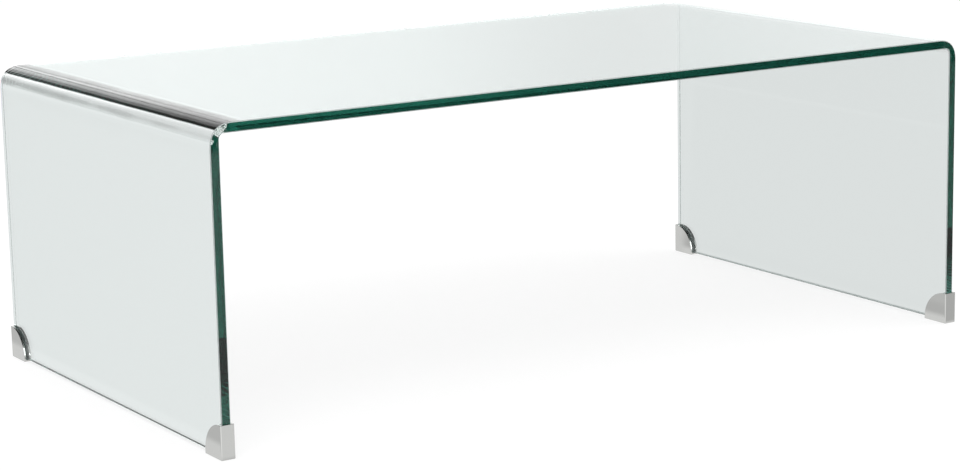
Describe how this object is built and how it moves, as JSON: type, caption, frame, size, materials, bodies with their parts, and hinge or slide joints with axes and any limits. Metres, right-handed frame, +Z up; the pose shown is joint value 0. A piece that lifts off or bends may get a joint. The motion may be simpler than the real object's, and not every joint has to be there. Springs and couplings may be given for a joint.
{
  "type": "waterfall coffee table",
  "caption": "Low bent-glass coffee table: one clear sheet runs down at both ends to form the legs, with polished metal shoes on its lower corners.",
  "frame": {"origin": "middle of the footprint, on the floor under the foot pads", "axes": "+X along the length from the left to the right end panel, +Y from the front long edge to the rear one, +Z up"},
  "size_m": [1.106, 0.606, 0.385],
  "materials": {
    "glass": "clear float glass, hot bent, polished edges; green-tinted at the edges",
    "shoe_metal": "die-cast, polished and chrome plated",
    "liner_plastic": "clear soft vinyl",
    "pad_rubber": "grey anti-slip rubber, matt"
  },
  "bodies": {
    "root": {"glass_sheet": "glass", "shoe_front_left": "shoe_metal", "liner_front_left": "liner_plastic", "foot_pad_front_left": "pad_rubber", "shoe_front_right": "shoe_metal", "liner_front_right": "liner_plastic", "foot_pad_front_right": "pad_rubber", "shoe_rear_left": "shoe_metal", "liner_rear_left": "liner_plastic", "foot_pad_rear_left": "pad_rubber", "shoe_rear_right": "shoe_metal", "liner_rear_right": "liner_plastic", "foot_pad_rear_right": "pad_rubber"}
  },
  "joints": []
}
